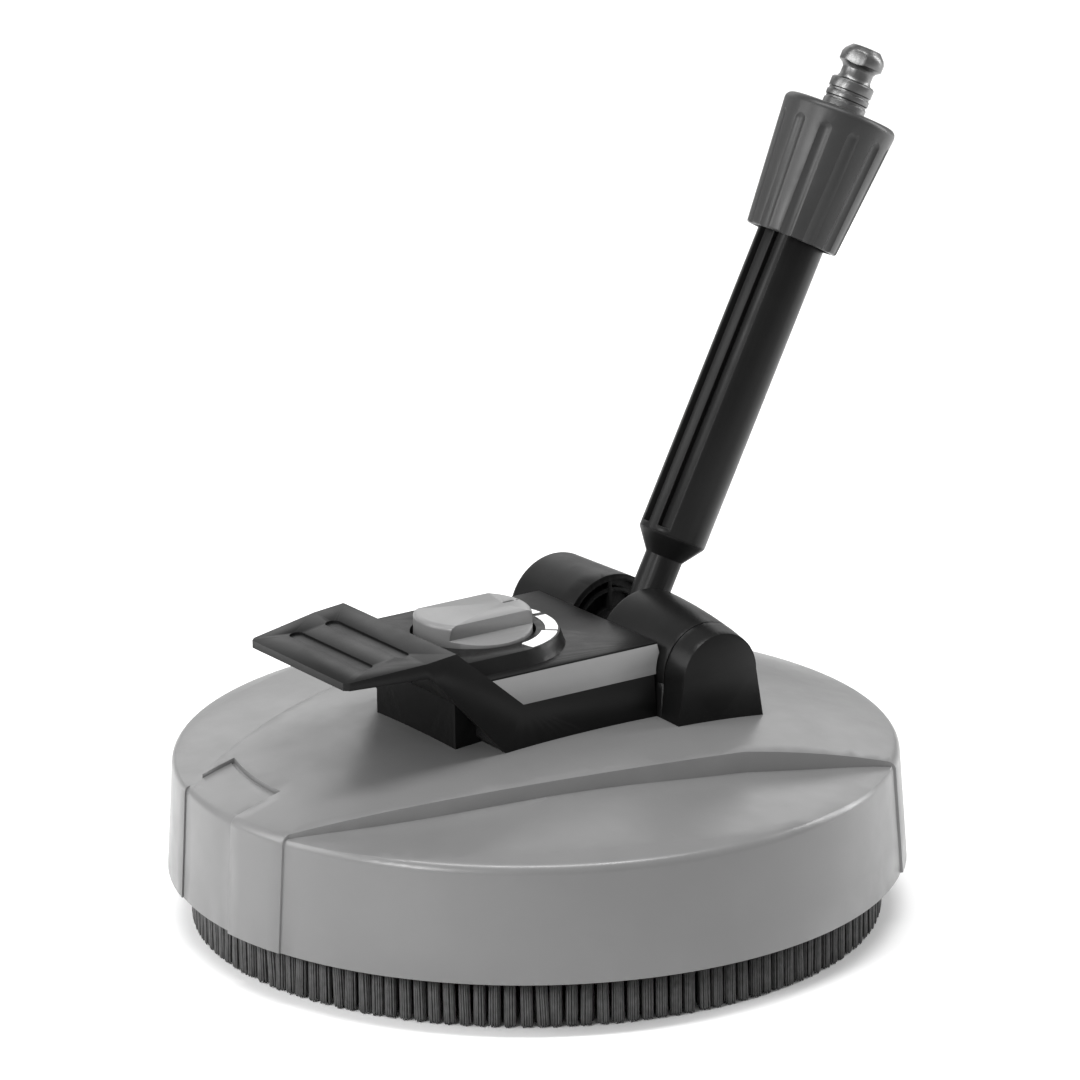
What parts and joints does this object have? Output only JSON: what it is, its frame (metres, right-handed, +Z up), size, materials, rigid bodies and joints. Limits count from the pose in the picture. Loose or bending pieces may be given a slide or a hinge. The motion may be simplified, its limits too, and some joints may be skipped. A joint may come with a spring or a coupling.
{
  "type": "surface cleaner",
  "caption": "Round pressure-washer surface cleaner head with a brush skirt, a spinning nozzle arm, a pressure dial, a carrying plate and a short lance that tilts in a rear yoke.",
  "frame": {"origin": "on the floor at the axis of the round hood, level with the bristle tips", "axes": "+Z up along the hood's and nozzle arm's axis; +Y to the back, where the lance leans; +X to the right side as seen from behind"},
  "size_m": [0.2992, 0.3258, 0.3353],
  "materials": {
    "hood_plastic": "satin",
    "black_plastic": "fine grain",
    "light_trim": "satin",
    "mark_white": "printed",
    "dial_grey": "satin",
    "collar_grey": "satin",
    "bristle_fibre": "straight filament",
    "alloy": "machined",
    "screw_steel": "zinc plated",
    "steel": "turned",
    "plug_metal": "turned",
    "brass": "machined",
    "seal_rubber": "matt"
  },
  "bodies": {
    "base": {"hood_shell": "hood_plastic", "brush_carrier": "black_plastic", "brush_bristles": "bristle_fibre", "carrier_screws": "screw_steel", "handle_cover": "black_plastic", "cover_screws": "screw_steel", "deck": "black_plastic", "trim_left": "light_trim", "trim_right": "light_trim", "dial_marks": "mark_white", "valve_block": "alloy", "gland_nut": "brass", "spindle_seal": "seal_rubber", "feed_pipe": "steel", "bearing_housing": "alloy", "housing_screws": "screw_steel", "spigot_seal": "seal_rubber", "lower_bearing": "steel", "upper_bearing": "steel", "bearing_spacer": "steel", "housing_circlip": "steel", "dust_seal": "seal_rubber", "shaft_seal": "seal_rubber", "left_yoke": "black_plastic", "right_yoke": "black_plastic", "yoke_screws": "screw_steel", "pivot_pin": "steel", "water_elbow": "brass"},
    "rotor": {"rotor_shaft": "steel", "shaft_circlip": "steel", "rotor_hub": "brass", "rotor_arm": "steel", "nozzle_holders": "brass", "nozzles": "steel"},
    "dial": {"knob": "dial_grey", "valve_spindle": "brass"},
    "needle": {"valve_needle": "steel"},
    "lance": {"pivot_hub": "black_plastic", "pivot_seals": "seal_rubber", "lance_tube": "black_plastic", "lance_pipe": "steel", "collar": "collar_grey", "plug": "plug_metal"}
  },
  "joints": [
    {"name": "rotor_spin", "type": "hinge", "parent": "base", "child": "rotor", "pos_m": [0, 0, 0.034], "axis": [0, 0, 1], "continuous": true},
    {"name": "pressure_dial", "type": "hinge", "parent": "base", "child": "dial", "pos_m": [0, -0.029, 0.119], "axis": [0, 0, 1], "range_deg": [-75, 75]},
    {"name": "needle_lift", "type": "slide", "parent": "base", "child": "needle", "axis": [0, 0, 1], "range_m": [-0.00105, 0.00105]},
    {"name": "lance_tilt", "type": "hinge", "parent": "base", "child": "lance", "pos_m": [0, 0.051, 0.1023], "axis": [1, 0, 0], "range_deg": [-35, 27.5]}
  ],
  "couplings": [
    {"joint": "needle_lift", "follows": "pressure_dial", "m_per_rad": 0.0008}
  ]
}
